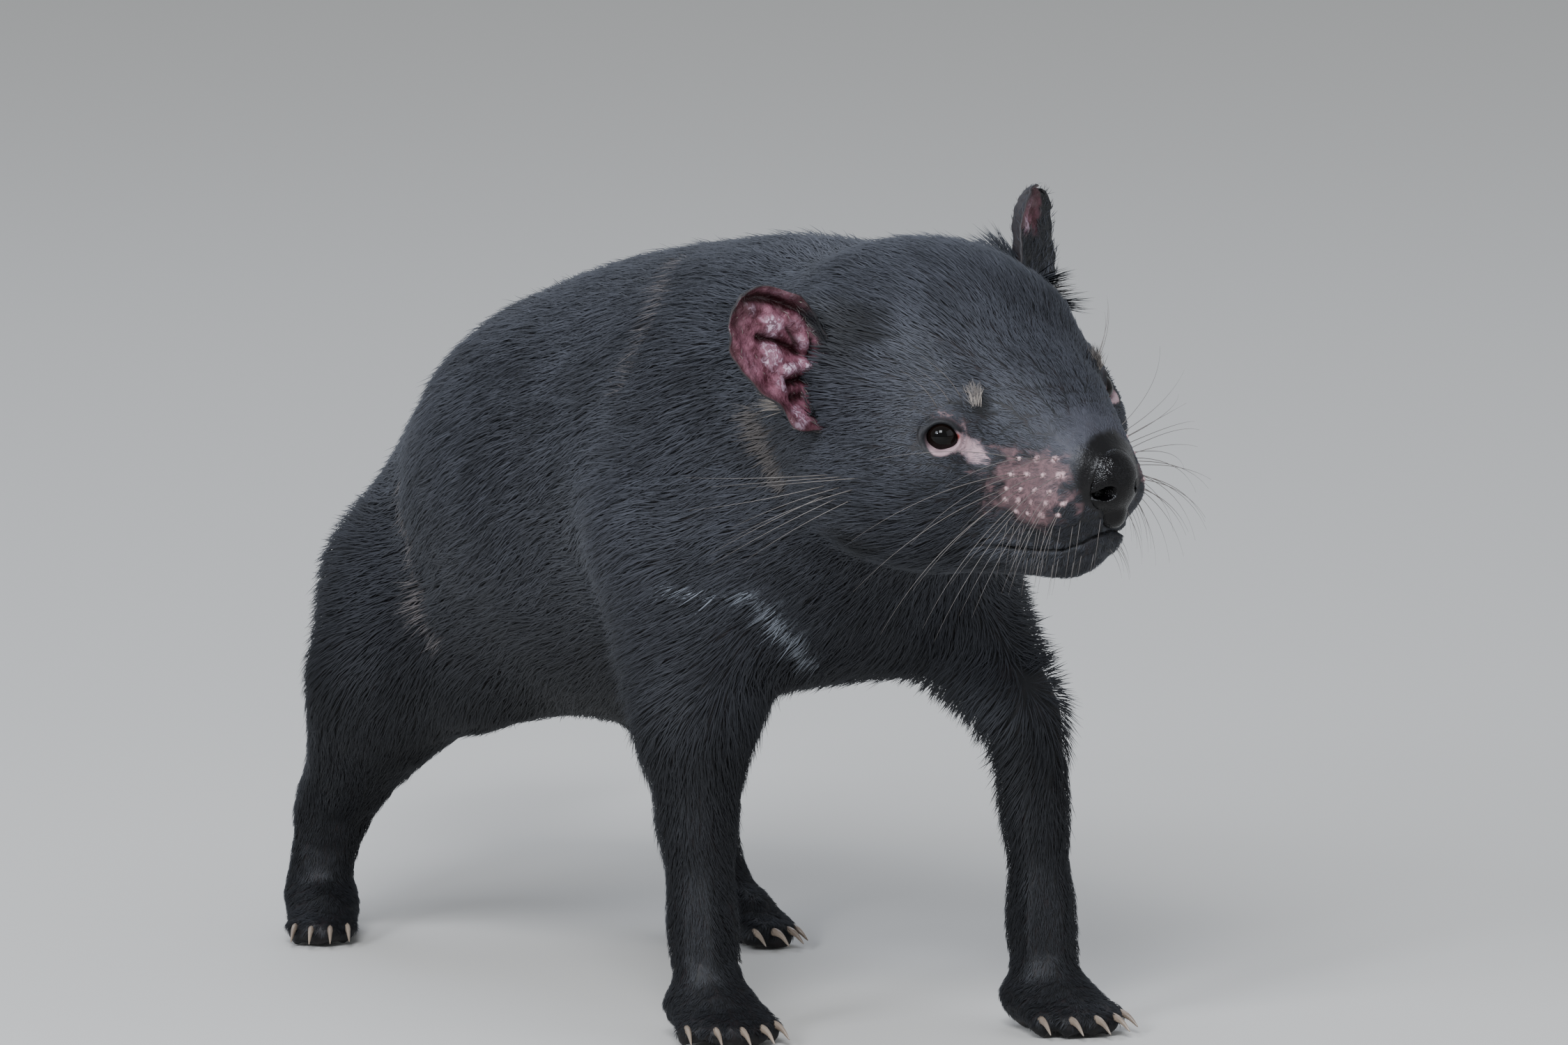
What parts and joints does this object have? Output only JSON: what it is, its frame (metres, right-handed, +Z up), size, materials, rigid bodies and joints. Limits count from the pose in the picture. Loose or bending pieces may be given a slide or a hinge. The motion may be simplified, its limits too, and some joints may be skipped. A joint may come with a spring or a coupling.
{
  "type": "tasmanian devil",
  "caption": "Standing tasmanian devil, a stocky short-legged black marsupial with a large head, rounded pink ears, a thick tail and clawed paws.",
  "frame": {"origin": "on the floor, at the bottom centre of the whole model's box", "axes": "+X along the animal from tail to nose, +Y towards its left side, +Z up"},
  "size_m": [0.6536, 0.2402, 0.3072],
  "materials": {
    "fur": "short coarse black fur with a cool sheen",
    "ear_skin": "thin bare pink skin",
    "paw_skin": "dark bare pads and thinly furred toes",
    "nose_leather": "wet black pebbled skin",
    "eye": "wet, dark brown",
    "claw_horn": "dull dark horn"
  },
  "bodies": {
    "root": {"torso": "fur", "neck": "fur", "tail": "fur", "head": "fur", "jaw": "fur", "ear_right": "ear_skin", "ear_left": "ear_skin", "nose": "nose_leather", "eye_right": "eye", "eye_left": "eye", "fore_right_upper_leg": "fur", "fore_right_lower_leg": "fur", "fore_right_paw": "paw_skin", "fore_left_upper_leg": "fur", "fore_left_lower_leg": "fur", "fore_left_paw": "paw_skin", "hind_right_upper_leg": "fur", "hind_right_lower_leg": "fur", "hind_right_paw": "paw_skin", "hind_left_upper_leg": "fur", "hind_left_lower_leg": "fur", "hind_left_paw": "paw_skin", "fore_right_claw_1": "claw_horn", "fore_right_claw_2": "claw_horn", "fore_right_claw_3": "claw_horn", "fore_right_claw_4": "claw_horn", "fore_right_claw_5": "claw_horn", "fore_left_claw_1": "claw_horn", "fore_left_claw_2": "claw_horn", "fore_left_claw_3": "claw_horn", "fore_left_claw_4": "claw_horn", "fore_left_claw_5": "claw_horn", "hind_right_claw_1": "claw_horn", "hind_right_claw_2": "claw_horn", "hind_right_claw_3": "claw_horn", "hind_right_claw_4": "claw_horn", "hind_left_claw_1": "claw_horn", "hind_left_claw_2": "claw_horn", "hind_left_claw_3": "claw_horn", "hind_left_claw_4": "claw_horn"}
  },
  "joints": []
}
